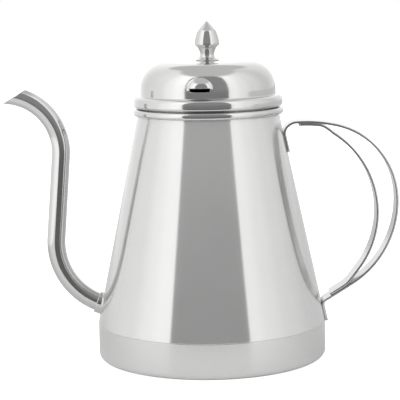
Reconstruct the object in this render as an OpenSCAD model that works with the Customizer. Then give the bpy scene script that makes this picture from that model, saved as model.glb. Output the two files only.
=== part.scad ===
// Gooseneck drip kettle in polished sheet steel: a cone on a drawn base pan, with a slim
// curved spout, a handle of two bent strips and a lift-off domed lid with a turned knob.
// The origin is the centre of the bottom face. +Z is up, +X is the handle's side and
// -X is the spout's side. All sizes are in millimetres.

/* [Body] */
// Outer diameter of the base band
base_d = 135; // [134:0.5:136]
// Height of the upright band round the base
band_h = 20.8; // [19:0.1:22]
// Radius of the corner between the bottom and the band
base_corner_r = 3; // [2:0.5:4]
// Outer diameter of the neck
neck_d = 83.5; // [83:0.1:84]
// Height at which the cone meets the neck
neck_z = 142.3; // [141:0.1:143]
// Thickness of the sheet steel
wall = 0.8; // [0.6:0.1:0.8]

/* [Mouth ring] */
// Height of the ring round the neck
ring_h = 4.3; // [4.1:0.1:5]
// How far the ring stands out from the neck
ring_bulge = 2.3; // [2:0.1:2.6]

/* [Lid] */
// Outer diameter of the lid's rolled edge
lid_d = 87.4; // [87:0.1:88]
// Height of the lid's rolled edge
lid_edge_h = 6.8; // [6.4:0.1:7.4]
// Outer diameter of the dome's wall
dome_d = 79.4; // [79:0.1:80]
// Height of the dome above the rolled edge
dome_h = 20.1; // [19:0.1:21]
// Radius of the dome's shoulder
shoulder_r = 16; // [14:0.5:17]
// Radius of the dome's flat crown
crown_r = 600; // [400:50:900]
// Depth of the locating skirt below the mouth's edge
skirt_depth = 11; // [8:0.5:14]
// Gap between the lid and the body, at the seat and round the skirt
lid_gap = 0.5; // [0.3:0.05:0.6]

/* [Steam vent] */
// Radius of the vent's round hood
vent_r = 9.5; // [9:0.1:11]
// How far the hood stands out of the dome
vent_bulge = 2.4; // [2:0.1:3]
// Height of the vent's slit above the rolled edge
vent_rise = 6.3; // [5:0.1:7]
// Direction of the vent, measured from +X
vent_azimuth = 263; // [255:1:285]

/* [Knob] */
// Height of the knob
knob_h = 22.5; // [21:0.1:24]
// Largest diameter of the knob
knob_d = 14.8; // [14:0.1:16]
// Diameter of the knob's foot
knob_foot_d = 14; // [12:0.1:15]
// Diameter of the knob's waist
knob_waist_d = 8.4; // [8:0.1:9]

/* [Spout] */
// Outer diameter of the spout tube
spout_d = 10.8; // [10:0.1:11.4]
// Height at which the spout leaves the body
spout_root_z = 31.4; // [30:0.1:33]
// Rise of the spout where it leaves the body
spout_rise = 20.4; // [18:0.1:22]
// Radius of the lower bend
low_bend_r = 38.9; // [37:0.1:41]
// Lean of the upright stretch towards the body
leg_lean = 4.9; // [3:0.1:6]
// Length of the upright stretch
leg_len = 49; // [45:0.5:52]
// Radius of the upper bend
top_bend_r = 33.6; // [31:0.1:36]
// Angle of the upper bend at the middle of the mouth
tip_angle = 77; // [74:1:82]
// Slope of the mouth's cut
tip_cut = 31; // [20:1:34]

/* [Handle] */
// Width of both handle strips
strip_w = 15; // [12:0.5:18]
// Thickness of both handle strips
strip_t = 1.4; // [1:0.1:1.5]
// Radius of the outer strip's bow along its top
bow_top_r = 84; // [80:1:90]
// Radius of the outer strip's bow round its side
bow_side_r = 45.8; // [45:0.1:47]
// Radius of the outer strip's bow down to its foot
bow_foot_r = 57.9; // [57:0.1:59]
// Radius of the inner strip's bow
inner_bow_r = 55.5; // [55:0.1:56]
// Height of the upper tab's lower end
tab_high_z = 120.6; // [119:0.1:122]
// Height of the lower tab's lower end
tab_low_z = 19.5; // [19:0.1:21]

/* [Hidden] */
$fn = 96;
arc_steps = 10;
repeat_gap = 0.02;

// Body
band_r = base_d / 2;
neck_r = neck_d / 2;
cone_slope = (band_r - neck_r) / (neck_z - band_h);
cone_lean = atan(cone_slope);
function cone_r(z) = band_r - cone_slope * (z - band_h);

// Mouth
ring_low = neck_z + 0.8;
ring_top = ring_low + ring_h;
ring_corner_r = 1.9;
mouth_r = neck_r - wall;

// Lid
lid_r = lid_d / 2;
lid_low = ring_top + lid_gap;
edge_top = lid_low + lid_edge_h;
edge_low_r = 1.8;
edge_high_r = 3.2;
dome_r = dome_d / 2;
dome_top = edge_top + dome_h;
crown_z = dome_top - crown_r;
shoulder_x = dome_r - shoulder_r;
shoulder_z = crown_z + sqrt(pow(crown_r - shoulder_r, 2) - pow(shoulder_x, 2));
shoulder_end = acos(shoulder_x / (crown_r - shoulder_r));
skirt_r = mouth_r - lid_gap;
skirt_low = ring_top - skirt_depth;
weld_gap = 0.05;

// Steam vent: a ball pushed through the dome from inside, open along its lower edge
vent_z = edge_top + vent_rise;
vent_ball_z = vent_z - 2.4;
vent_slit_h = 1.4;

// Knob fixing
screw_r = 2;
screw_clear = 0.05;
hole_r = 2.2;
screw_head_r = 4;
screw_head_h = 2.4;
screw_reach = 7;
slot_w = 1;
slot_depth = 1;
washer_r = 4.5;
washer_t = 0.8;
washer_top = dome_top - wall - 0.08;

// Spout
tube_r = spout_d / 2;
bore_r = tube_r - wall;
root = [-cone_r(spout_root_z), spout_root_z];
root_dir = [-cos(spout_rise), sin(spout_rise)];
bend_start = root + root_dir;
low_centre = bend_start + low_bend_r * [sin(spout_rise), cos(spout_rise)];
low_a0 = 270 - spout_rise;
low_a1 = 180 - leg_lean;
leg_dir = [sin(leg_lean), cos(leg_lean)];
leg_start = low_centre + low_bend_r * [cos(low_a1), sin(low_a1)];
leg_end = leg_start + leg_len * leg_dir;
top_centre = leg_end + top_bend_r * [-cos(leg_lean), sin(leg_lean)];
tip = top_centre + top_bend_r * [cos(tip_angle), sin(tip_angle)];
tip_spare = 30;
stub_len = 12;
join = 0.4;
collar_r = 6.6;
collar_flare = 0.8;
collar_len = 3.4;
collar_gap = 0.1;

// Handle: the outer strip is three arcs that run into each other at bow_turn_high and
// bow_turn_low, and both of its ends lie down on the cone
side_c = [64.4, 91.3];
bow_high = 92;
bow_turn_high = 77;
bow_turn_low = 3;
bow_low = -58;
top_c = side_c + (bow_side_r - bow_top_r) * [cos(bow_turn_high), sin(bow_turn_high)];
foot_c = side_c + (bow_side_r - bow_foot_r) * [cos(bow_turn_low), sin(bow_turn_low)];
high_bend_r = 6.5;
foot_bend_r = 3.5;
tab_lap = 0.5;
tab_line = band_r * cos(cone_lean) + band_h * sin(cone_lean) + strip_t / 2;
inner_c = [43.1, 84.3];
inner_high = 56;
inner_low = -38;
lap_gap = 0.1;
lap_r = bow_top_r - strip_t - lap_gap;
lap_high = 84;
lap_start = 4;
lap_end = 14;

// Points on a circle's arc, from angle a to angle b
function arc(c, r, a, b, n = arc_steps) =
    [for (i = [0 : n]) c + r * [cos(a + (b - a) * i / n), sin(a + (b - a) * i / n)]];

// Points on a cubic curve between a and d
function curve(a, b, c, d, n = arc_steps) =
    [for (i = [0 : n]) let (t = i / n, s = 1 - t)
        s * s * s * a + 3 * s * s * t * b + 3 * s * t * t * c + t * t * t * d];

// The points p without those that repeat the one before
function tidy(p) =
    [for (i = [0 : len(p) - 1]) if (i == 0 || norm(p[i] - p[max(i - 1, 0)]) > repeat_gap) p[i]];

function reversed(p) = [for (i = [len(p) - 1 : -1 : 0]) p[i]];
function unit(v) = v / norm(v);
function left_of(v) = [-v[1], v[0]];

// Arc of radius r that rounds the corner b between a and c
function round_corner(a, b, c, r) =
    let (u = unit(a - b), v = unit(c - b), half = acos(u * v) / 2)
    let (m = b + unit(u + v) * r / sin(half), start = b + u * r / tan(half))
    let (from = atan2(start[1] - m[1], start[0] - m[0]))
    let (turn = sign(cross(b - a, c - b)) * (180 - 2 * half))
    arc(m, r, from, from + turn);

// Outline of a strip of thickness t that follows the points p
function strip_outline(p, t) =
    let (last = len(p) - 1)
    let (side = [for (i = [0 : last])
        left_of(unit(p[min(i + 1, last)] - p[max(i - 1, 0)])) * t / 2])
    concat([for (i = [0 : last]) p[i] + side[i]], [for (i = [last : -1 : 0]) p[i] - side[i]]);

// Point of the tabs' centre line at height z
function on_tab(z) = [(tab_line - z * sin(cone_lean)) / cos(cone_lean), z];

// Where the line through p along d meets the tabs' centre line
function meets_tab(p, d) =
    let (n = [cos(cone_lean), sin(cone_lean)]) p + d * (tab_line - n * p) / (n * d);

// Bend drawn in the upright plane through the spout and the handle
module bend(c, r, a, b) {
    translate([c[0], 0, c[1]])
        rotate([90, 0, 0])
            rotate([0, 0, min(a, b)])
                rotate_extrude(angle = abs(b - a))
                    translate([r, 0])
                        children();
}

// Straight rod from p along direction d in the same plane
module rod(p, d, len, r1, r2) {
    translate([p[0], 0, p[1]])
        rotate([0, atan2(d[0], d[1]), 0])
            cylinder(h = len, r1 = r1, r2 = r2);
}

// Everything inside the body's outer skin
module body_solid() {
    rotate_extrude()
        polygon([[0, 0], [band_r, 0], [band_r, band_h], [neck_r, neck_z], [0, neck_z]]);
}

// Spout's path filled to radius r, with its lower end pushed into the body.
// The straight lengths are a hair slimmer than the bends and reach a little way into them.
module spout_path(r, spare = 0) {
    slim = r - join / 8;
    rod(bend_start - stub_len * root_dir, root_dir, stub_len + join, slim, slim);
    bend(low_centre, low_bend_r, low_a0, low_a1) circle(r);
    rod(leg_start - join * leg_dir, leg_dir, leg_len + 2 * join, slim, slim);
    bend(top_centre, top_bend_r, -leg_lean, tip_angle + tip_spare + spare) circle(r);
}

module body_shell() {
    inner = [[mouth_r, ring_top], [mouth_r, neck_z], [band_r - wall, band_h]];
    outer = [[band_r, band_h], [neck_r, neck_z], [neck_r, ring_top]];
    color("gainsboro")
        difference() {
            rotate_extrude() polygon(concat(inner, outer));
            rod(bend_start - stub_len * root_dir, root_dir, stub_len + wall, bore_r, bore_r);
        }
}

module base_pan() {
    corner = [band_r - base_corner_r, base_corner_r];
    outer = concat([[0, 0]], arc(corner, base_corner_r, -90, 0), [[band_r, band_h]]);
    inner = concat([[band_r - wall, band_h]], arc(corner, base_corner_r - wall, 0, -90), [[0, wall]]);
    color("lightgrey")
        rotate_extrude() polygon(concat(outer, inner));
}

module mouth_ring() {
    x = neck_r + ring_bulge - ring_corner_r;
    low = arc([x, ring_low + ring_corner_r], ring_corner_r, -90, 0);
    high = arc([x, ring_top - ring_corner_r], ring_corner_r, 0, 90);
    color("silver")
        rotate_extrude() polygon(concat([[neck_r, ring_low]], low, high, [[neck_r, ring_top]]));
}

module spout_tube() {
    color("silver")
        difference() {
            spout_path(tube_r);
            spout_path(bore_r, 1);
            body_solid();
            translate([tip[0], 0, tip[1]])
                rotate([0, -tip_cut, 0])
                    translate([-40, -20, 0])
                        cube([80, 40, 30]);
        }
}

module spout_collar() {
    start = root - stub_len * root_dir;
    color("gainsboro")
        difference() {
            rod(start, root_dir, stub_len + collar_len, collar_r + collar_flare * 2, collar_r);
            rod(start - root_dir, root_dir, stub_len + collar_len + 2, tube_r + collar_gap, tube_r + collar_gap);
            body_solid();
        }
}

// Tab that lies on the cone between two heights, curved to fit it
module tab(low, high) {
    normal = [cos(cone_lean), sin(cone_lean)] * strip_t / 2;
    spread = 2 * asin(strip_w / 2 / on_tab(high)[0]);
    rotate([0, 0, -spread / 2])
        rotate_extrude(angle = spread)
            polygon([on_tab(low) - normal, on_tab(low) + normal, on_tab(high) + normal, on_tab(high) - normal]);
}

// Flat strip of the handle's width that follows the points p
module strip(p) {
    rotate([90, 0, 0])
        linear_extrude(strip_w, center = true)
            polygon(strip_outline(tidy(p), strip_t));
}

bow_high_p = top_c + bow_top_r * [cos(bow_high), sin(bow_high)];
bow_low_p = foot_c + bow_foot_r * [cos(bow_low), sin(bow_low)];
bow_low_dir = [sin(bow_low), -cos(bow_low)];

module handle_outer_strip() {
    high_corner = meets_tab(bow_high_p, [-sin(bow_high), cos(bow_high)]);
    low_corner = meets_tab(bow_low_p, bow_low_dir);
    high_bend = round_corner(on_tab(tab_high_z), high_corner, bow_high_p, high_bend_r);
    low_bend = round_corner(bow_low_p, low_corner, on_tab(tab_low_z), foot_bend_r);
    bow = concat(
        arc(top_c, bow_top_r, bow_high, bow_turn_high, 8),
        arc(side_c, bow_side_r, bow_turn_high, bow_turn_low, 20),
        arc(foot_c, bow_foot_r, bow_turn_low, bow_low, 16)
    );
    color("darkgrey")
        union() {
            strip(concat(high_bend, bow, low_bend));
            tab(tab_high_z, high_bend[0][1] + tab_lap);
            tab(tab_low_z, low_bend[len(low_bend) - 1][1] + tab_lap);
        }
}

module handle_inner_strip() {
    aside = -left_of(bow_low_dir) * (strip_t + lap_gap);
    lap_arc = arc(top_c, lap_r, bow_high, lap_high, 4);
    high_p = top_c + lap_r * [cos(lap_high), sin(lap_high)];
    bow_p = inner_c + inner_bow_r * [cos(inner_high), sin(inner_high)];
    low_p = inner_c + inner_bow_r * [cos(inner_low), sin(inner_low)];
    foot_p = bow_low_p + lap_start * bow_low_dir + aside;
    high_curve = curve(high_p, high_p + 4 * [sin(lap_high), -cos(lap_high)],
        bow_p - 4 * [sin(inner_high), -cos(inner_high)], bow_p);
    low_curve = curve(low_p, low_p + 3 * [sin(inner_low), -cos(inner_low)],
        foot_p - 3 * bow_low_dir, foot_p, 6);
    bow = arc(inner_c, inner_bow_r, inner_high, inner_low, 28);
    ends = [foot_p + (lap_end - lap_start) * bow_low_dir];
    color("grey")
        strip(concat(lap_arc, high_curve, bow, low_curve, ends));
}

// Outline of the lid's sheet at depth t below its outer face
function lid_face(t) = concat(
    [[lid_r - edge_low_r, lid_low + t]],
    arc([lid_r - edge_low_r, lid_low + edge_low_r], edge_low_r - t, -80, 0, 5),
    arc([lid_r - edge_high_r, edge_top - edge_high_r], edge_high_r - t, 0, 90, 6),
    [[dome_r - t, edge_top - t]],
    arc([shoulder_x, shoulder_z], shoulder_r - t, 0, shoulder_end - 4, 12),
    arc([0, crown_z], crown_r - t, shoulder_end, 90, 6)
);

// Ball of the vent above height z, lying outside the dome's inner face
module vent_ball(r, z) {
    difference() {
        rotate([0, 0, vent_azimuth])
            translate([dome_r + vent_bulge - vent_r, 0, vent_ball_z])
                sphere(r);
        translate([-lid_r, -lid_r, z - 2 * lid_r])
            cube(2 * lid_r);
    }
}

module lid_dome() {
    color("gainsboro")
        difference() {
            union() {
                rotate_extrude() polygon(concat(lid_face(0), reversed(lid_face(wall))));
                difference() {
                    vent_ball(vent_r, vent_z);
                    rotate_extrude() polygon(concat(lid_face(wall), [[0, lid_low + wall]]));
                }
            }
            vent_ball(vent_r - wall, vent_z - vent_slit_h);
            translate([0, 0, dome_top - 2 * wall])
                cylinder(h = 4 * wall, r = hole_r);
        }
}

module lid_skirt() {
    high_r = dome_r - wall - weld_gap;
    high_z = shoulder_z - 0.3;
    step_z = lid_low + 2;
    jog = skirt_r - high_r;
    outer = [[high_r, high_z], [high_r, step_z + jog], [skirt_r, step_z], [skirt_r, skirt_low]];
    color("grey")
        rotate_extrude()
            polygon(concat(outer, reversed([for (p = outer) p - [wall, 0]])));
}

// Knob's outline: a flared foot, a waist, an undercut bulb and a pointed cap
function knob_face() =
    let (foot = knob_foot_d / 2, waist = knob_waist_d / 2, top = knob_d / 2)
    let (edge = knob_h * 0.41, neck = knob_h * 0.77, cap = knob_h - 0.6)
    concat(
        [[0, 0], [foot, 0], [foot, 0.4]],
        curve([foot, 0.4], [waist + 0.9, 0.9], [waist, 1.6], [waist, 3.2], 6),
        curve([waist, 3.2], [waist + 0.2, 6], [waist + 1.3, edge - 1.6], [top - 0.3, edge - 0.4], 8),
        curve([top - 0.3, edge - 0.4], [top + 0.2, edge + 0.2], [top, edge + 3.6], [top * 0.72, neck], 10),
        [[0.9, cap], [0.45, knob_h - 0.15], [0, knob_h]]
    );

module lid_knob() {
    color("silver")
        translate([0, 0, dome_top])
            difference() {
                rotate_extrude() polygon(knob_face());
                translate([0, 0, -1])
                    cylinder(h = screw_reach + 1, r = screw_r + screw_clear);
            }
}

module knob_screw() {
    head_top = washer_top - washer_t;
    color("grey")
        difference() {
            union() {
                translate([0, 0, head_top - screw_head_h])
                    cylinder(h = screw_head_h, r = screw_head_r);
                translate([0, 0, head_top - 0.1])
                    cylinder(h = dome_top + screw_reach - 1 - head_top, r = screw_r);
            }
            for (turn = [0, 90])
                rotate([0, 0, turn])
                    translate([-2.5, -slot_w / 2, head_top - screw_head_h - 1])
                        cube([5, slot_w, slot_depth + 1]);
        }
}

module knob_washer() {
    color("darkgrey")
        translate([0, 0, washer_top - washer_t])
            difference() {
                cylinder(h = washer_t, r = washer_r);
                translate([0, 0, -1])
                    cylinder(h = washer_t + 2, r = hole_r);
            }
}

body_shell();
base_pan();
mouth_ring();
spout_tube();
spout_collar();
handle_outer_strip();
handle_inner_strip();
lid_dome();
lid_skirt();
lid_knob();
knob_screw();
knob_washer();
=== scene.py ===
import math

import bpy
import numpy as np
from mathutils import Matrix, Vector


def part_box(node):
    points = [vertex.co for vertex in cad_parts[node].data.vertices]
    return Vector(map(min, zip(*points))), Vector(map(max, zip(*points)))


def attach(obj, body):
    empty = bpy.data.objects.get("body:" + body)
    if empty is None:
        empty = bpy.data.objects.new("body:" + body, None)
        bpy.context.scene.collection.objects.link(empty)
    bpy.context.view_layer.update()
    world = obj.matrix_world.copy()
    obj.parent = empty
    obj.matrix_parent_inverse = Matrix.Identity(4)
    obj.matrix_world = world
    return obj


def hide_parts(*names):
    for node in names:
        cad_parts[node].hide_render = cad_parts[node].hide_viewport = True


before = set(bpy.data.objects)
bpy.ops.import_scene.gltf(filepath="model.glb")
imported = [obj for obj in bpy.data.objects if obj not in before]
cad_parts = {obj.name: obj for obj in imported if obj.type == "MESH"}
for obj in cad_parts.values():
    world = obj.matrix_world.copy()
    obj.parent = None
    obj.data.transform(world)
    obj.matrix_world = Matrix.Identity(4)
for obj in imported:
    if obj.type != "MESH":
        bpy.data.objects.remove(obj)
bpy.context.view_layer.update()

# The kettle's polished skin, built finely enough for mirror reflections. Lengths in this
# script are millimetres in the frame's own axes, and to_mesh turns them into metres:
# z up from the bottom face, +x to the handle, -x to the spout.
MM = 0.001
SEGMENTS = 256

# ---------------------------------------------------------------- sizes taken from the frame


def node_box(node):
    """Lowest and highest corner of a CAD node, in millimetres."""
    low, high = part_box(node)
    return np.array(low) / MM, np.array(high) / MM


BAND_R = node_box("base_pan")[1][0]
BAND_H = node_box("base_pan")[1][2]
RING_LOW, RING_TOP = node_box("mouth_ring")[0][2], node_box("mouth_ring")[1][2]
RING_R = node_box("mouth_ring")[1][0]
LID_LOW = node_box("lid_dome")[0][2]
DOME_TOP = node_box("lid_dome")[1][2]
LID_R = node_box("lid_dome")[1][0]
SKIRT_LOW, SKIRT_HIGH = node_box("lid_skirt")[0][2], node_box("lid_skirt")[1][2]
SKIRT_R = node_box("lid_skirt")[1][0]
KNOB_TOP = node_box("lid_knob")[1][2]
STRIP_W = 15.0
STRIP_T = 1.4

# ---------------------------------------------------------------- sizes of the skin itself
WALL = 0.8
NECK_R = 41.75
NECK_Z = RING_LOW - 0.8
SLOPE = (BAND_R - NECK_R) / (NECK_Z - BAND_H)
LEAN = math.atan(SLOPE)
DOME_R = 39.7
EDGE_TOP = LID_LOW + 6.8
EDGE_LOW_R = 1.8
EDGE_HIGH_R = 3.2
SHOULDER_R = 16.0
CROWN_R = 600.0
VENT_W = 14.6
VENT_H = 5.4
VENT_BULGE = 2.3
VENT_AZIMUTH = math.radians(263)
VENT_Z = EDGE_TOP + 6.3
VENT_SLIT = 2.0

SPOUT_R = 5.4
SPOUT_ROOT_Z = 31.4
SPOUT_RISE = math.radians(20.4)
LOW_BEND_R = 38.9
LEG_LEAN = math.radians(4.9)
LEG_LEN = 49.0
TOP_BEND_R = 33.6
TIP_ANGLE = math.radians(77)
TIP_CUT = math.radians(31)

BOW_TOP_R, BOW_SIDE_R, BOW_FOOT_R = 84.0, 45.8, 57.9
BOW_HIGH, BOW_TURN_HIGH, BOW_TURN_LOW, BOW_LOW = (math.radians(a) for a in (92, 77, 3, -58))
SIDE_C = np.array([64.4, 91.3])
HIGH_BEND_R, FOOT_BEND_R = 6.5, 3.5
INNER_C = np.array([43.1, 84.3])
INNER_R = 55.5
INNER_HIGH, INNER_LOW = math.radians(56), math.radians(-38)
LAP_HIGH = math.radians(84)
LAP_START, LAP_END = 4.0, 14.0
TAB_HIGH_Z, TAB_LOW_Z = 120.6, 19.5
LAP_GAP = 0.1

# ---------------------------------------------------------------- outlines


def polar(angle):
    return np.array([math.cos(angle), math.sin(angle)])


def unit(v):
    v = np.asarray(v, float)
    return v / np.linalg.norm(v)


def left_of(v):
    return np.array([-v[1], v[0]])


def arc(centre, r, a, b, n):
    """Points of an arc from angle a to b, in radians."""
    return [np.asarray(centre, float) + r * polar(a + (b - a) * i / n) for i in range(n + 1)]


def curve(a, b, c, d, n):
    """Points of a cubic curve from a to d."""
    t = [i / n for i in range(n + 1)]
    return [(1 - s) ** 3 * a + 3 * (1 - s) ** 2 * s * b + 3 * (1 - s) * s * s * c + s ** 3 * d for s in t]


def rounded(points, radii, n=6):
    """The open outline through points, with each inner corner rounded to its radius."""
    points = [np.asarray(p, float) for p in points]
    out = [points[0]]
    for a, b, c, r in zip(points, points[1:], points[2:], radii):
        if r <= 0:
            out.append(b)
            continue
        u, v = unit(a - b), unit(c - b)
        half = math.acos(max(-1.0, min(1.0, float(u @ v)))) / 2
        centre = b + unit(u + v) * r / math.sin(half)
        start = b + u * r / math.tan(half) - centre
        first = math.atan2(start[1], start[0])
        turn = math.copysign(math.pi - 2 * half, float(np.cross(b - a, c - b)))
        out.extend(arc(centre, r, first, first + turn, n))
    return out + [points[-1]]


def joined(*parts):
    """One list of points from several, without repeats."""
    out = []
    for p in (p for part in parts for p in part):
        if not out or np.linalg.norm(p - out[-1]) > 1e-4:
            out.append(np.asarray(p, float))
    return out


def refined(points, step, near=0.35):
    """The same outline with long straight stretches divided, and a point close to each of their ends."""
    out = [points[0]]
    for a, b in zip(points, points[1:]):
        length = np.linalg.norm(b - a)
        if length > 4 * near:
            inner = np.linspace(near, length - near, max(2, int(length / step) + 1))
            out.extend(a + (b - a) * t / length for t in inner)
        out.append(b)
    return out


def offset(points, depth):
    """The outline moved sideways by depth, to its right."""
    out = []
    for i, p in enumerate(points):
        ahead = points[min(i + 1, len(points) - 1)] - points[max(i - 1, 0)]
        out.append(p - left_of(unit(ahead)) * depth)
    return out


# ---------------------------------------------------------------- meshes


def to_mesh(name, points, faces):
    """A smooth-shaded object from millimetre points."""
    mesh = bpy.data.meshes.new(name)
    mesh.from_pydata([tuple(p) for p in np.asarray(points, float) * MM], [], faces)
    mesh.validate()
    mesh.update()
    for polygon in mesh.polygons:
        polygon.use_smooth = True
    obj = bpy.data.objects.new(name, mesh)
    bpy.context.scene.collection.objects.link(obj)
    return obj


def lathe(name, outline, closed=True, segments=SEGMENTS):
    """The outline, points of (radius, height), turned round the z axis."""
    rings, points, faces = [], [], []
    turns = [2 * math.pi * i / segments for i in range(segments)]
    for r, z in outline:
        if r < 1e-6:
            rings.append([len(points)] * segments)
            points.append((0, 0, z))
        else:
            rings.append(list(range(len(points), len(points) + segments)))
            points.extend((r * math.cos(a), r * math.sin(a), z) for a in turns)
    pairs = list(zip(rings, rings[1:] + rings[:1])) if closed else list(zip(rings, rings[1:]))
    for low, high in pairs:
        for i in range(segments):
            k = (i + 1) % segments
            corners = list(dict.fromkeys((low[i], low[k], high[k], high[i])))
            if len(corners) > 2:
                faces.append(corners)
    return outward(to_mesh(name, points, faces))


def weld(obj, reach=2e-6):
    """Joins points that lie on each other and drops the faces that collapse."""
    import bmesh
    work = bmesh.new()
    work.from_mesh(obj.data)
    bmesh.ops.remove_doubles(work, verts=work.verts, dist=reach)
    bmesh.ops.dissolve_degenerate(work, edges=work.edges, dist=reach / 2)
    work.to_mesh(obj.data)
    work.free()


def outward(obj):
    """Turns every face of a closed mesh outwards."""
    import bmesh
    work = bmesh.new()
    work.from_mesh(obj.data)
    bmesh.ops.recalc_face_normals(work, faces=work.faces)
    work.to_mesh(obj.data)
    work.free()
    return obj


def grid_faces(rows, cols, wrap_cols=True, start=0):
    """Quads between rows of cols points each."""
    faces = []
    for i in range(rows - 1):
        for j in range(cols if wrap_cols else cols - 1):
            k = (j + 1) % cols
            a, b = start + i * cols, start + (i + 1) * cols
            faces.append((a + j, a + k, b + k, b + j))
    return faces


# ---------------------------------------------------------------- body


def cone_r(z):
    return BAND_R - SLOPE * (z - BAND_H)


def make_body_shell():
    """The cone and its neck, a sheet of even thickness with a rounded top edge."""
    outer = [(BAND_R, BAND_H), (NECK_R, NECK_Z), (NECK_R, RING_TOP)]
    inner = [(NECK_R - WALL, RING_TOP), (NECK_R - WALL, NECK_Z), (BAND_R - WALL, BAND_H)]
    outline = rounded(outer + inner + [outer[0]], [1.5, 0.35, 0.35, 1.5, 0.0], 8)[:-1]
    return lathe("body_shell_skin", refined([np.array(p) for p in outline], 6.0))


def make_base_pan():
    """The drawn pan: band, rounded corner and flat bottom, with a soft shoulder under the cone."""
    outer = [(0, 0), (BAND_R, 0), (BAND_R, BAND_H), (BAND_R - WALL, BAND_H), (BAND_R - WALL, WALL), (0, WALL)]
    outline = rounded(outer, [3.0, 0.3, 0.25, 2.3], 10)
    return lathe("base_pan_skin", refined(outline, 5.0), closed=False)


def make_mouth_ring():
    points = [(NECK_R + 0.02, RING_TOP - 3), (NECK_R + 0.02, RING_LOW), (RING_R, RING_LOW), (RING_R, RING_TOP),
              (NECK_R + 0.02, RING_TOP), (NECK_R + 0.02, RING_TOP - 3)]
    outline = rounded(points, [0.2, 1.9, 1.9, 0.2], 12)[:-1]
    return lathe("mouth_ring_skin", refined([np.array(p) for p in outline], 2.0))


# ---------------------------------------------------------------- lid


def lid_outline():
    """The dome's outer face from its lower lip to its top."""
    shoulder = np.array([DOME_R - SHOULDER_R, 0.0])
    crown = np.array([0.0, DOME_TOP - CROWN_R])
    shoulder[1] = crown[1] + math.sqrt((CROWN_R - SHOULDER_R) ** 2 - shoulder[0] ** 2)
    end = math.acos(shoulder[0] / (CROWN_R - SHOULDER_R))
    corners = [(LID_R - 2.2, LID_LOW), (LID_R, LID_LOW), (LID_R, EDGE_TOP), (DOME_R, EDGE_TOP),
               (DOME_R, shoulder[1])]
    edge = rounded(corners, [EDGE_LOW_R, EDGE_HIGH_R, 0.5], 12)
    wall = [np.array([DOME_R, EDGE_TOP + 0.6 + 0.4 * i]) for i in range(int((shoulder[1] - EDGE_TOP - 0.6) / 0.4))]
    return joined(edge[:-1], wall, arc(shoulder, SHOULDER_R, 0, end, 40), arc(crown, CROWN_R, end, math.pi / 2, 12))


def vent_across(azimuth):
    """Distance round the dome from the vent's middle, signed."""
    return ((azimuth - VENT_AZIMUTH + math.pi) % (2 * math.pi) - math.pi) * DOME_R


def vent_push(azimuth, z):
    """How far the vent's hood stands out of the dome: a lid-shaped bulge above its level cut."""
    out = math.hypot(vent_across(azimuth) / (VENT_W / 2), (z - VENT_Z) / VENT_H)
    if z < VENT_Z or out >= 1:
        return 0.0
    return VENT_BULGE * (1 - out * out) ** 0.8


def make_lid_dome():
    """The dome's sheet. Its vent is a bulge pushed out of the sheet above a level cut, and the
    slit under it is open to the inside."""
    face = np.array(lid_outline())
    inner = np.array(offset(list(face), -WALL))
    inner[-1][0] = 0.0
    hood_half = VENT_W / 2 / DOME_R
    fine = [VENT_AZIMUTH + hood_half * 1.1 * (2 * i / 72 - 1) for i in range(73)]
    gap = 2 * math.pi - (fine[-1] - fine[0])
    turns = fine + [fine[-1] + gap * i / 224 for i in range(1, 224)]
    count = len(turns)
    top = len(face) - 1
    on_wall = [i for i in range(top) if face[i][0] > DOME_R - 2 and face[i][1] > EDGE_TOP + 0.6]
    cut = min(on_wall, key=lambda i: abs(face[i][1] - VENT_Z))
    low = min(on_wall, key=lambda i: abs(face[i][1] - (VENT_Z - VENT_SLIT)))
    face[cut][1] = inner[cut][1] = VENT_Z
    face[low][1] = inner[low][1] = VENT_Z - VENT_SLIT
    points, faces = [], []

    def ring(profile, i):
        first = len(points)
        for a in turns:
            r = profile[i][0] + vent_push(a, profile[i][1])
            points.append((r * math.cos(a), r * math.sin(a), profile[i][1]))
        return range(first, len(points))

    def quads(lower, upper, keep=lambda j: True):
        for j in range(count):
            if keep(j):
                k = (j + 1) % count
                faces.append((lower[j], lower[k], upper[k], upper[j]))

    def in_slit(j):
        ends = (vent_across(turns[j]), vent_across(turns[(j + 1) % count]))
        return max(abs(e) for e in ends) < VENT_W / 2 * 0.8

    outside = [ring(face, i) for i in range(top)]
    inside = [ring(inner, i) for i in range(top)]
    for i in range(top - 1):
        beside = (lambda j: not in_slit(j)) if low <= i < cut else (lambda j: True)
        quads(outside[i], outside[i + 1], beside)
        quads(inside[i], inside[i + 1], beside)
    for i in (low, cut):
        quads(outside[i], inside[i], in_slit)
    slit = [j for j in range(count) if in_slit(j)]
    for j in (min(slit), max(slit) + 1):
        faces.extend((outside[i][j], outside[i + 1][j], inside[i + 1][j], inside[i][j]) for i in range(low, cut))
    quads(outside[0], inside[0])
    for rings, profile in ((outside, face), (inside, inner)):
        points.append((0.0, 0.0, profile[top][1]))
        last = rings[top - 1]
        faces.extend((last[j], last[(j + 1) % count], len(points) - 1) for j in range(count))
    dome = to_mesh("lid_dome_skin", points, faces)
    weld(dome)
    return outward(dome)


def make_lid_skirt():
    high_r, step_z = DOME_R - WALL - 0.05, LID_LOW + 2
    outer = [(high_r, SKIRT_HIGH), (high_r, step_z + SKIRT_R - high_r), (SKIRT_R, step_z), (SKIRT_R, SKIRT_LOW)]
    inner = [(r - WALL, z) for r, z in outer[::-1]]
    outline = rounded(outer + inner + [outer[0]], [1.0, 1.0, 0.3, 0.3, 1.0, 1.0, 0.3], 5)[:-1]
    return lathe("lid_skirt_skin", refined([np.array(p) for p in outline], 3.0), segments=192)


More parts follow.
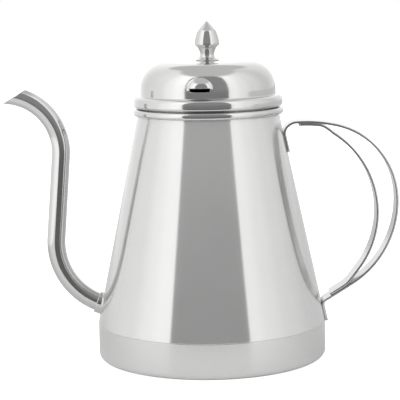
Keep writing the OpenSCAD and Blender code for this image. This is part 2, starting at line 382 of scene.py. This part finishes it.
def make_lid_knob():
    """A turned finial: flared foot, waist, undercut bulb and pointed cap."""
    h = KNOB_TOP - DOME_TOP
    foot, waist, top = 6.9, 4.2, 7.4
    edge, neck = h * 0.41, h * 0.77
    at = lambda r, z: np.array([r, DOME_TOP + z])
    outline = joined(
        [at(0, 0), at(foot - 0.2, 0)],
        arc(at(foot - 0.2, 0.2), 0.2, -math.pi / 2, math.pi / 2, 8),
        curve(at(foot - 0.2, 0.4), at(waist + 1.3, 1.1), at(waist, 1.8), at(waist, 3.2), 14),
        curve(at(waist, 3.2), at(waist + 0.2, 6), at(waist + 1.3, edge - 1.6), at(top - 0.3, edge - 0.4), 14),
        curve(at(top - 0.3, edge - 0.4), at(top + 0.2, edge + 0.2), at(top, edge + 3.6), at(top * 0.72, neck), 20),
        curve(at(top * 0.72, neck), at(top * 0.5, neck + 1.5), at(2.2, h - 2.0), at(1.1, h - 0.8), 10),
        curve(at(1.1, h - 0.8), at(0.7, h - 0.3), at(0.5, h), at(0, h), 6),
    )
    return lathe("lid_knob_skin", outline, closed=False, segments=128)


# ---------------------------------------------------------------- spout


def spout_line(step=0.9):
    """Centre points and directions of the spout, from inside the body to past its mouth."""
    out_dir = np.array([-math.cos(SPOUT_RISE), math.sin(SPOUT_RISE)])
    root = np.array([-cone_r(SPOUT_ROOT_Z), SPOUT_ROOT_Z])
    start = root + out_dir
    low_c = start + LOW_BEND_R * np.array([math.sin(SPOUT_RISE), math.cos(SPOUT_RISE)])
    low_a, low_b = math.radians(270) - SPOUT_RISE, math.pi - LEG_LEAN
    leg_a = low_c + LOW_BEND_R * polar(low_b)
    leg_b = leg_a + LEG_LEN * np.array([math.sin(LEG_LEAN), math.cos(LEG_LEAN)])
    top_c = leg_b + TOP_BEND_R * np.array([-math.cos(LEG_LEAN), math.sin(LEG_LEAN)])
    top_b = TIP_ANGLE + math.radians(30)
    line = joined(
        [start - out_dir * (4 - 0.5 * i) for i in range(8)],
        arc(low_c, LOW_BEND_R, low_a, low_b, int(LOW_BEND_R * (low_a - low_b) / step)),
        [leg_a + (leg_b - leg_a) * i / 40 for i in range(41)],
        arc(top_c, TOP_BEND_R, -LEG_LEAN, top_b, int(TOP_BEND_R * (top_b + LEG_LEAN) / step)),
    )
    tip = top_c + TOP_BEND_R * polar(TIP_ANGLE)
    return np.array(line), tip


def make_spout_tube():
    """A bent tube of even wall: trimmed to the body at its root and cut slantwise at its mouth."""
    line, tip = spout_line()
    along = np.concatenate([[0], np.cumsum(np.linalg.norm(np.diff(line, axis=0), axis=1))])
    cut_normal = np.array([-math.sin(TIP_CUT), math.cos(TIP_CUT)])
    around = 64
    rows = 300

    def at(s, angle, r):
        x, z = np.interp(s, along, line[:, 0]), np.interp(s, along, line[:, 1])
        x2, z2 = np.interp(s + 0.2, along, line[:, 0]), np.interp(s + 0.2, along, line[:, 1])
        x1, z1 = np.interp(s - 0.2, along, line[:, 0]), np.interp(s - 0.2, along, line[:, 1])
        side = left_of(unit([x2 - x1, z2 - z1]))
        lift = r * math.cos(angle)
        return np.array([x + side[0] * lift, r * math.sin(angle), z + side[1] * lift])

    def search(low, high, inside):
        for _ in range(40):
            mid = (low + high) / 2
            low, high = (mid, high) if inside(mid) else (low, mid)
        return (low + high) / 2

    def skin(r):
        columns = []
        for j in range(around):
            angle = 2 * math.pi * j / around
            first = search(0, 9, lambda s: math.hypot(*at(s, angle, r)[:2]) < cone_r(at(s, angle, r)[2]) - WALL / 2)
            last = search(along[-1] - 40, along[-1],
                          lambda s: (at(s, angle, r)[[0, 2]] - tip) @ cut_normal < 0)
            middle = (along[-1] - 40)
            share = [first + (middle - first) * i / (rows - 60) for i in range(rows - 60)]
            share += [middle + (last - middle) * i / 60 for i in range(61)]
            columns.append([at(s, angle, r) for s in share])
        return np.array(columns).transpose(1, 0, 2)

    outer, inner = skin(SPOUT_R), skin(SPOUT_R - WALL)
    lip = []
    for i in range(1, 6):
        turn = math.pi * i / 6
        blend = (1 - math.cos(turn)) / 2
        push = WALL / 2 * math.sin(turn) * 0.6
        lip.append(outer[-1] * (1 - blend) + inner[-1] * blend + np.array([cut_normal[0], 0, cut_normal[1]]) * push)
    pull = np.array([cut_normal[0], 0, cut_normal[1]]) * 0.25
    rings = list(outer[:-1]) + [outer[-1] - pull] + [ring - pull for ring in lip] + [inner[-1] - pull] + list(inner[-2::-1])
    points = np.concatenate(rings)
    faces = grid_faces(len(rings), around)
    last = (len(rings) - 1) * around
    faces += [(last + j, last + (j + 1) % around, (j + 1) % around, j) for j in range(around)]
    return outward(to_mesh("spout_tube_skin", points, faces))


def make_spout_collar():
    """The weld collar: a short ring with a soft outer edge that spreads onto the body."""
    out_dir = np.array([-math.cos(SPOUT_RISE), math.sin(SPOUT_RISE)])
    root = np.array([-cone_r(SPOUT_ROOT_Z), SPOUT_ROOT_Z])
    side = left_of(out_dir)
    around = 96
    inner_r, outer_r = SPOUT_R + 0.02, 6.55
    rings = []

    def ring(r, s):
        return [np.array([root[0] + out_dir[0] * s + side[0] * r * math.cos(a), r * math.sin(a),
                          root[1] + out_dir[1] * s + side[1] * r * math.cos(a)])
                for a in (2 * math.pi * j / around for j in range(around))]

    def foot(r, depth):
        """The same ring slid back along the tube until it meets the cone."""
        out = []
        for j, p in enumerate(ring(r, 0)):
            low, high = -6.0, 6.0
            for _ in range(40):
                mid = (low + high) / 2
                q = p + np.array([out_dir[0], 0, out_dir[1]]) * mid
                low, high = (mid, high) if math.hypot(q[0], q[1]) < cone_r(q[2]) - depth else (low, mid)
            out.append(p + np.array([out_dir[0], 0, out_dir[1]]) * low)
        return out

    rings.append(foot(outer_r + 0.75, 0.05))
    base = np.array(foot(outer_r, 0.0))
    shift = np.array([out_dir[0], 0, out_dir[1]])
    rings.append(list(np.array(foot(outer_r + 0.32, 0.0)) + shift * 0.12))
    rings.append(list(np.array(foot(outer_r + 0.1, 0.0)) + shift * 0.35))
    rings.append(list(base + shift * 0.75))
    rings.append(list(base * 0.35 + np.array(ring(outer_r, 2.2)) * 0.65))
    rings.append(ring(outer_r, 2.9))
    for i in range(1, 5):
        a = math.pi / 2 * i / 4
        rings.append(ring(outer_r - 0.4 + 0.4 * math.cos(a), 2.9 + 0.4 * math.sin(a)))
    rings.append(ring(inner_r, 3.3))
    rings.append(foot(inner_r, 0.05))
    points = np.concatenate([np.array(r) for r in rings])
    faces = grid_faces(len(rings), around)
    last = (len(rings) - 1) * around
    faces += [(last + j, last + (j + 1) % around, (j + 1) % around, j) for j in range(around)]
    return outward(to_mesh("spout_collar_skin", points, faces))


# ---------------------------------------------------------------- handle


def on_tab(z, lift=STRIP_T / 2):
    """Point of a tab's centre line at height z."""
    line = BAND_R * math.cos(LEAN) + BAND_H * math.sin(LEAN) + lift
    return np.array([(line - z * math.sin(LEAN)) / math.cos(LEAN), z])


def meets_tab(p, d):
    n = polar(LEAN)
    line = BAND_R * math.cos(LEAN) + BAND_H * math.sin(LEAN) + STRIP_T / 2
    return p + d * (line - n @ p) / (n @ d)


def resample(points, step):
    """Evenly spaced points along a line."""
    points = np.array(points)
    s = np.concatenate([[0], np.cumsum(np.linalg.norm(np.diff(points, axis=0), axis=1))])
    t = np.linspace(0, s[-1], max(2, int(round(s[-1] / step)) + 1))
    return np.stack([np.interp(t, s, points[:, 0]), np.interp(t, s, points[:, 1])], 1)


def make_strip(name, line, hug=lambda p: 0.0, end_round=1.6):
    """A flat strip with eased edges along a line in the upright plane. hug says how far a
    section is curved to fit the body, from 0 to 1."""
    half_w, half_t, ease = STRIP_W / 2, STRIP_T / 2, 0.35
    section = []
    for sx, sy, first in ((1, 1, 0), (-1, 1, 1), (-1, -1, 2), (1, -1, 3)):
        centre = np.array([sx * (half_w - ease), sy * (half_t - ease)])
        section += arc(centre, ease, first * math.pi / 2, (first + 1) * math.pi / 2, 5)
    section = refined(section + section[:1], 1.2, 0.25)[:-1]
    last = len(line) - 1
    sides = [left_of(unit(line[min(i + 1, last)] - line[max(i - 1, 0)])) for i in range(last + 1)]
    s = np.concatenate([[0], np.cumsum(np.linalg.norm(np.diff(line, axis=0), axis=1))])
    rings = []
    for i in range(last + 1):
        to_end = min(s[i], s[-1] - s[i])
        narrow = 0.0
        if to_end < end_round:
            narrow = end_round - math.sqrt(max(end_round ** 2 - (end_round - to_end) ** 2, 0.0))
        bend = hug(line[i]) / (2 * max(line[i][0], 1.0))
        ring = []
        for y, t in section:
            y = y * (half_w - narrow) / half_w
            drop = bend * y * y
            outer = np.array([line[i][0] + sides[i][0] * t - drop, line[i][1] + sides[i][1] * t])
            ring.append(np.array([outer[0], y, outer[1]]))
        rings.append(ring)
    points = np.concatenate([np.array(r) for r in rings])
    faces = grid_faces(len(rings), len(section))
    faces.append(tuple(range(len(section))))
    first = (len(rings) - 1) * len(section)
    faces.append(tuple(range(first, first + len(section))))
    strip = outward(to_mesh(name, points, faces))
    # the narrow edges and the end caps take the second material, with its painted shade
    for face in strip.data.polygons:
        flat_side = all(abs(strip.data.vertices[v].co.y) / MM > half_w - ease * 0.6 for v in face.vertices)
        if flat_side or len(face.vertices) > 4:
            face.material_index = 1
    return strip


def hug_tabs(p):
    """1 where a strip lies on the cone, falling to 0 a little way off it."""
    gap = p @ polar(LEAN) - (BAND_R * math.cos(LEAN) + BAND_H * math.sin(LEAN) + STRIP_T / 2)
    t = max(0.0, min(1.0, 1 - gap / 5))
    return t * t * (3 - 2 * t)


def end_steps(points, reach=1.8):
    """Adds closely spaced points near both ends, for the rounded corners there."""
    s = np.concatenate([[0], np.cumsum(np.linalg.norm(np.diff(points, axis=0), axis=1))])
    extra = [reach * (1 - math.cos(math.pi / 2 * i / 8)) for i in range(1, 8)]
    t = sorted(set([round(v, 4) for v in s if reach < v < s[-1] - reach] + [0.0, s[-1]]
                   + extra + [s[-1] - e for e in extra]))
    return np.stack([np.interp(t, s, points[:, 0]), np.interp(t, s, points[:, 1])], 1)


def clockwise(a):
    """Direction of a clockwise turn at angle a of a circle."""
    return np.array([math.sin(a), -math.cos(a)])


TOP_C = SIDE_C + (BOW_SIDE_R - BOW_TOP_R) * polar(BOW_TURN_HIGH)
FOOT_C = SIDE_C + (BOW_SIDE_R - BOW_FOOT_R) * polar(BOW_TURN_LOW)
BOW_LOW_P = FOOT_C + BOW_FOOT_R * polar(BOW_LOW)


def make_outer_strip():
    """Three arcs that run into each other, bent at both ends to lie down on the cone."""
    high_p = TOP_C + BOW_TOP_R * polar(BOW_HIGH)
    high_corner = meets_tab(high_p, -clockwise(BOW_HIGH))
    low_corner = meets_tab(BOW_LOW_P, clockwise(BOW_LOW))
    line = joined(
        rounded([on_tab(TAB_HIGH_Z), high_corner, high_p], [HIGH_BEND_R], 24),
        arc(TOP_C, BOW_TOP_R, BOW_HIGH, BOW_TURN_HIGH, 24),
        arc(SIDE_C, BOW_SIDE_R, BOW_TURN_HIGH, BOW_TURN_LOW, 80),
        arc(FOOT_C, BOW_FOOT_R, BOW_TURN_LOW, BOW_LOW, 80),
        rounded([BOW_LOW_P, low_corner, on_tab(TAB_LOW_Z)], [FOOT_BEND_R], 18),
    )
    return make_strip("handle_outer_strip_skin", end_steps(resample(line, 0.7)), hug_tabs)


def make_inner_strip():
    """The second strip, lapped on the outer one's inner side at both ends."""
    lap_r = BOW_TOP_R - STRIP_T - LAP_GAP
    aside = -left_of(clockwise(BOW_LOW)) * (STRIP_T + LAP_GAP)
    high_p = TOP_C + lap_r * polar(LAP_HIGH)
    bow_p = INNER_C + INNER_R * polar(INNER_HIGH)
    end_p = INNER_C + INNER_R * polar(INNER_LOW)
    foot_p = BOW_LOW_P + LAP_START * clockwise(BOW_LOW) + aside
    line = joined(
        arc(TOP_C, lap_r, BOW_HIGH, LAP_HIGH, 16),
        curve(high_p, high_p + 4 * clockwise(LAP_HIGH), bow_p - 4 * clockwise(INNER_HIGH), bow_p, 20),
        arc(INNER_C, INNER_R, INNER_HIGH, INNER_LOW, 110),
        curve(end_p, end_p + 3 * clockwise(INNER_LOW), foot_p - 3 * clockwise(BOW_LOW), foot_p, 12),
        [foot_p + (LAP_END - LAP_START) * clockwise(BOW_LOW)],
    )
    return make_strip("handle_inner_strip_skin", end_steps(resample(line, 0.7)))


# ---------------------------------------------------------------- materials


def polished_steel(name, colour, roughness, spread, scratch, wave, grain=(1.0, 1.0, 40.0), turned=0.0,
                   metal=1.0):
    """Stainless steel: a near-even reflectance, faint polishing lines, slow waves in the
    sheet, and roughness that varies with handling marks."""
    mat = bpy.data.materials.new(name)
    mat.use_nodes = True
    nodes, links = mat.node_tree.nodes, mat.node_tree.links
    nodes.clear()
    out = nodes.new("ShaderNodeOutputMaterial")
    shader = nodes.new("ShaderNodeBsdfPrincipled")
    links.new(shader.outputs["BSDF"], out.inputs["Surface"])
    shader.inputs["Metallic"].default_value = metal
    coords = nodes.new("ShaderNodeTexCoord")
    if turned:
        shader.inputs["Anisotropic"].default_value = turned
        shader.inputs["Anisotropic Rotation"].default_value = 0.25
        around = nodes.new("ShaderNodeTangent")
        around.direction_type = "RADIAL"
        around.axis = "Z"
        links.new(around.outputs["Tangent"], shader.inputs["Tangent"])

    marks = nodes.new("ShaderNodeTexNoise")
    marks.inputs["Scale"].default_value = 28.0
    marks.inputs["Detail"].default_value = 6.0
    marks.inputs["Roughness"].default_value = 0.6
    links.new(coords.outputs["Object"], marks.inputs["Vector"])

    tone = nodes.new("ShaderNodeValToRGB")
    tone.color_ramp.elements[0].position = 0.3
    tone.color_ramp.elements[1].position = 0.7
    tone.color_ramp.elements[0].color = (*[c * 0.96 for c in colour], 1)
    tone.color_ramp.elements[1].color = (*colour, 1)
    links.new(marks.outputs["Fac"], tone.inputs["Fac"])
    links.new(tone.outputs["Color"], shader.inputs["Base Color"])

    stretch = nodes.new("ShaderNodeMapping")
    stretch.inputs["Scale"].default_value = grain
    links.new(coords.outputs["Object"], stretch.inputs["Vector"])
    lines = nodes.new("ShaderNodeTexNoise")
    lines.inputs["Scale"].default_value = 60.0
    lines.inputs["Detail"].default_value = 4.0
    links.new(stretch.outputs["Vector"], lines.inputs["Vector"])

    rough = nodes.new("ShaderNodeMapRange")
    rough.inputs["From Min"].default_value = 0.3
    rough.inputs["From Max"].default_value = 0.7
    rough.inputs["To Min"].default_value = roughness
    rough.inputs["To Max"].default_value = roughness + spread
    mixed = nodes.new("ShaderNodeMath")
    mixed.operation = "MULTIPLY_ADD"
    mixed.inputs[1].default_value = 0.4
    links.new(lines.outputs["Fac"], mixed.inputs[0])
    half = nodes.new("ShaderNodeMath")
    half.operation = "MULTIPLY"
    half.inputs[1].default_value = 0.6
    links.new(marks.outputs["Fac"], half.inputs[0])
    links.new(half.outputs[0], mixed.inputs[2])
    links.new(mixed.outputs[0], rough.inputs["Value"])
    links.new(rough.outputs["Result"], shader.inputs["Roughness"])

    slow = nodes.new("ShaderNodeTexNoise")
    slow.inputs["Scale"].default_value = 16.0
    slow.inputs["Detail"].default_value = 1.0
    links.new(coords.outputs["Object"], slow.inputs["Vector"])
    waves = nodes.new("ShaderNodeBump")
    waves.inputs["Strength"].default_value = wave
    waves.inputs["Distance"].default_value = 0.001
    links.new(slow.outputs["Fac"], waves.inputs["Height"])
    fine = nodes.new("ShaderNodeBump")
    fine.inputs["Strength"].default_value = scratch
    fine.inputs["Distance"].default_value = 0.00002
    links.new(lines.outputs["Fac"], fine.inputs["Height"])
    links.new(waves.outputs["Normal"], fine.inputs["Normal"])
    links.new(fine.outputs["Normal"], shader.inputs["Normal"])
    return mat


STEEL = (0.66, 0.66, 0.655)
body_steel = polished_steel("body_steel", STEEL, 0.15, 0.03, 0.1, 0.02, turned=0.9, metal=0.72)
base_steel = polished_steel("base_steel", (0.7, 0.7, 0.695), 0.2, 0.02, 0.05, 0.01, turned=0.8, metal=0.85)
ring_steel = polished_steel("ring_steel", STEEL, 0.1, 0.03, 0.1, 0.0)
lid_steel = polished_steel("lid_steel", STEEL, 0.1, 0.03, 0.1, 0.02)
spout_steel = polished_steel("spout_steel", (0.63, 0.63, 0.625), 0.1, 0.04, 0.1, 0.02, (1, 1, 6))
strip_steel = polished_steel("strip_steel", (0.53, 0.53, 0.525), 0.12, 0.05, 0.2, 0.02, (6, 1, 6))
# painted shade: the strips' narrow edges and end caps get a colour far darker than steel, standing in for the dark
# lines their edges show; their higher roughness is real, as cut edges are duller
painted_shade_edge = polished_steel("painted_shade_edge", (0.3, 0.3, 0.3), 0.3, 0.1, 0.4, 0.0)
knob_steel = polished_steel("knob_steel", (0.64, 0.64, 0.635), 0.1, 0.04, 0.15, 0.0)
plain_steel = polished_steel("plain_steel", (0.5, 0.5, 0.5), 0.3, 0.15, 0.6, 0.02)
fastener_steel = polished_steel("fastener_steel", (0.48, 0.48, 0.49), 0.28, 0.15, 0.8, 0.0)


def dress(obj, material):
    obj.data.materials.clear()
    obj.data.materials.append(material)
    # faces marked 1 get the edge material, which carries painted shade
    if any(face.material_index for face in obj.data.polygons):
        obj.data.materials.append(painted_shade_edge)
    return obj


# ---------------------------------------------------------------- pieces
PIECES = (
    (make_body_shell, "body_shell", "kettle", body_steel, "polished_body"),
    (make_base_pan, "base_pan", "kettle", base_steel, "satin_base"),
    (make_mouth_ring, "mouth_ring", "kettle", ring_steel, "polished_body"),
    (make_spout_tube, "spout_tube", "kettle", spout_steel, "polished_spout"),
    (make_spout_collar, "spout_collar", "kettle", spout_steel, "polished_spout"),
    (make_outer_strip, "handle_outer_strip", "kettle", strip_steel, "polished_strip"),
    (make_inner_strip, "handle_inner_strip", "kettle", strip_steel, "polished_strip"),
    (make_lid_dome, "lid_dome", "lid", lid_steel, "polished_lid"),
    (make_lid_skirt, "lid_skirt", "lid", plain_steel, "plain_steel"),
    (make_lid_knob, "lid_knob", "lid", knob_steel, "turned_knob"),
)
for make, node, body, material, slot in PIECES:
    piece = dress(make(), material)
    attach(piece, body)
    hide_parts(node)

for node in ("knob_screw", "knob_washer"):
    dress(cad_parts[node], fastener_steel)

# ---------------------------------------------------------------- stage


def stage_mesh(name, points, faces):
    mesh = bpy.data.meshes.new(name)
    mesh.from_pydata(points, [], faces)
    obj = bpy.data.objects.new(name, mesh)
    bpy.context.scene.collection.objects.link(obj)
    return obj


def make_floor():
    """A plain pale table top, with painted shade that makes it greyer behind the kettle and on the
    handle's side than in front. Camera rays also get a painted glow, so the camera sees it white."""
    front, back, left, right, low = -0.7, 6.5, -0.45, 3.0, -0.0002
    corners = [(left, front, low), (right, front, low), (right, back, low), (left, back, low)]
    floor = stage_mesh("floor", corners, [(0, 1, 2, 3)])
    mat = bpy.data.materials.new("floor_white")
    mat.use_nodes = True
    nodes, links = mat.node_tree.nodes, mat.node_tree.links
    shader = nodes["Principled BSDF"]
    shader.inputs["Roughness"].default_value = 0.8
    coords = nodes.new("ShaderNodeTexCoord")
    split = nodes.new("ShaderNodeSeparateXYZ")
    # painted shade: the floor's colour falls from 0.9 in front to 0.65 behind the kettle and towards the handle's
    # side, standing in for the shade near the kettle
    painted_floor_shade = nodes.new("ShaderNodeMapRange")
    painted_floor_shade.interpolation_type = "SMOOTHSTEP"
    painted_floor_shade.inputs["From Min"].default_value = -0.11
    painted_floor_shade.inputs["From Max"].default_value = 0.05
    painted_floor_shade.inputs["To Min"].default_value = 0.9
    painted_floor_shade.inputs["To Max"].default_value = 0.65
    links.new(coords.outputs["Object"], split.inputs[0])
    aside = nodes.new("ShaderNodeMath")
    aside.operation = "MAXIMUM"
    aside.inputs[1].default_value = 0.0
    links.new(split.outputs["X"], aside.inputs[0])
    away = nodes.new("ShaderNodeMath")
    away.operation = "MULTIPLY_ADD"
    away.inputs[1].default_value = 0.35
    links.new(aside.outputs[0], away.inputs[0])
    links.new(split.outputs["Y"], away.inputs[2])
    links.new(away.outputs[0], painted_floor_shade.inputs["Value"])
    links.new(painted_floor_shade.outputs["Result"], shader.inputs["Base Color"])
    # painted glow: camera rays get extra emission, so the floor looks white to the camera but reflects at its own
    # level
    painted_glow = nodes.new("ShaderNodeEmission")
    rays = nodes.new("ShaderNodeLightPath")
    gain = nodes.new("ShaderNodeMath")
    gain.operation = "MULTIPLY"
    gain.inputs[1].default_value = 0.8
    links.new(rays.outputs["Is Camera Ray"], gain.inputs[0])
    links.new(gain.outputs[0], painted_glow.inputs["Strength"])
    both = nodes.new("ShaderNodeAddShader")
    links.new(shader.outputs[0], both.inputs[0])
    links.new(painted_glow.outputs[0], both.inputs[1])
    links.new(both.outputs[0], nodes["Material Output"].inputs["Surface"])
    floor.data.materials.append(mat)


def make_opening():
    """The tent's open front: a dim panel with a rounded top, a hand's width before the
    kettle. It shows in the polished steel and the camera looks through it."""
    y, left, right, top, corner = -0.20, -0.15, 0.125, 0.56, 0.11
    outline = [(left, 0.0), (right, 0.0)]
    for centre_x, first in ((right - corner, 0.0), (left + corner, 90.0)):
        for i in range(17):
            turn = math.radians(first + 90 * i / 16)
            outline.append((centre_x + corner * math.cos(turn), top - corner + corner * math.sin(turn)))
    panel = stage_mesh("tent_opening", [(x, y, z) for x, z in outline], [tuple(range(len(outline)))])
    panel.visible_camera = False
    panel.visible_diffuse = False
    panel.visible_shadow = False
    mat = bpy.data.materials.new("dim_room")
    mat.use_nodes = True
    nodes, links = mat.node_tree.nodes, mat.node_tree.links
    nodes.clear()
    out = nodes.new("ShaderNodeOutputMaterial")
    glow = nodes.new("ShaderNodeEmission")
    coords = nodes.new("ShaderNodeTexCoord")
    split = nodes.new("ShaderNodeSeparateXYZ")
    level = nodes.new("ShaderNodeMapRange")
    level.interpolation_type = "SMOOTHSTEP"
    level.inputs["From Min"].default_value = 0.06
    level.inputs["From Max"].default_value = 0.21
    level.inputs["To Min"].default_value = 0.155
    level.inputs["To Max"].default_value = 0.33
    links.new(coords.outputs["Object"], split.inputs[0])
    links.new(split.outputs["Z"], level.inputs["Value"])
    links.new(level.outputs["Result"], glow.inputs["Strength"])
    links.new(glow.outputs[0], out.inputs["Surface"])
    panel.data.materials.append(mat)


# Brightness of the tent's wall by azimuth in degrees: 0 is the camera's side, + is the handle's
WALL_LIGHT = ((-180, 1.55), (-130, 1.25), (-90, 1.38), (-70, 1.66), (-55, 1.85), (45, 1.66),
              (62, 1.45), (85, 1.26), (120, 1.04), (150, 1.25), (180, 1.55))
WALL_SCALE = 2.0
ROOF_LIGHT = 0.88


def make_world():
    """A light tent: bright walls all round and a greyer roof. The camera sees plain white."""
    world = bpy.data.worlds.new("tent")
    bpy.context.scene.world = world
    world.use_nodes = True
    nodes, links = world.node_tree.nodes, world.node_tree.links
    nodes.clear()
    out = nodes.new("ShaderNodeOutputWorld")
    coords = nodes.new("ShaderNodeTexCoord")
    split = nodes.new("ShaderNodeSeparateXYZ")
    links.new(coords.outputs["Generated"], split.inputs[0])

    def math_node(operation, *values):
        node = nodes.new("ShaderNodeMath")
        node.operation = operation
        for socket, value in zip(node.inputs, values):
            if isinstance(value, (int, float)):
                socket.default_value = value
            else:
                links.new(value, socket)
        return node.outputs[0]

    def smooth_step(value, low, high):
        node = nodes.new("ShaderNodeMapRange")
        node.interpolation_type = "SMOOTHSTEP"
        node.inputs["From Min"].default_value = low
        node.inputs["From Max"].default_value = high
        links.new(value, node.inputs["Value"])
        return node.outputs["Result"]

    x, y, z = split.outputs
    azimuth = math_node("ARCTAN2", x, math_node("MULTIPLY", y, -1.0))
    ramp = nodes.new("ShaderNodeValToRGB")
    ramp.color_ramp.interpolation = "EASE"
    stops = ramp.color_ramp.elements
    while len(stops) < len(WALL_LIGHT):
        stops.new(0.5)
    for stop, (degrees, light) in zip(stops, WALL_LIGHT):
        stop.position = (degrees + 180) / 360
        stop.color = (light / WALL_SCALE, light / WALL_SCALE, light / WALL_SCALE, 1)
    links.new(math_node("MULTIPLY_ADD", azimuth, 1 / (2 * math.pi), 0.5), ramp.inputs["Fac"])
    upward = math_node("MULTIPLY_ADD", math_node("MULTIPLY", z, z), 0.18, 0.97)
    wall = math_node("MULTIPLY", math_node("MULTIPLY", ramp.outputs["Color"], WALL_SCALE), upward)

    # the roof starts at 62 degrees up in front and at the sides, and at 42 degrees at the back
    behind = smooth_step(math_node("ABSOLUTE", azimuth), math.radians(128), math.radians(155))
    above = math_node("SUBTRACT", z, math_node("MULTIPLY_ADD", behind, -0.22, 0.885))
    roof = smooth_step(above, -0.025, 0.035)
    level = math_node("ADD", wall, math_node("MULTIPLY", roof, math_node("SUBTRACT", ROOF_LIGHT, wall)))

    tent = nodes.new("ShaderNodeBackground")
    links.new(level, tent.inputs["Strength"])
    plain = nodes.new("ShaderNodeBackground")
    plain.inputs["Color"].default_value = (1, 1, 1, 1)
    rays = nodes.new("ShaderNodeLightPath")
    mix = nodes.new("ShaderNodeMixShader")
    links.new(rays.outputs["Is Camera Ray"], mix.inputs[0])
    links.new(tent.outputs[0], mix.inputs[1])
    links.new(plain.outputs[0], mix.inputs[2])
    links.new(mix.outputs[0], out.inputs["Surface"])


def make_camera():
    """A long lens, a little above the lid, with the kettle leaning a touch to the left."""
    camera = bpy.data.objects.new("camera", bpy.data.cameras.new("camera"))
    bpy.context.scene.collection.objects.link(camera)
    camera.data.lens = 138.3
    camera.data.sensor_width = 36.0
    place = Vector((-0.0058, -0.90, 0.220))
    look = Vector((-0.0058, 0.0, 0.0924))
    turn = (look - place).to_track_quat("-Z", "Y").to_matrix() @ Matrix.Rotation(math.radians(-1.09), 3, "Z")
    camera.location = place
    camera.rotation_euler = turn.to_euler()
    bpy.context.scene.camera = camera


make_floor()
make_opening()
make_world()
make_camera()
bpy.context.scene.view_settings.view_transform = "Standard"
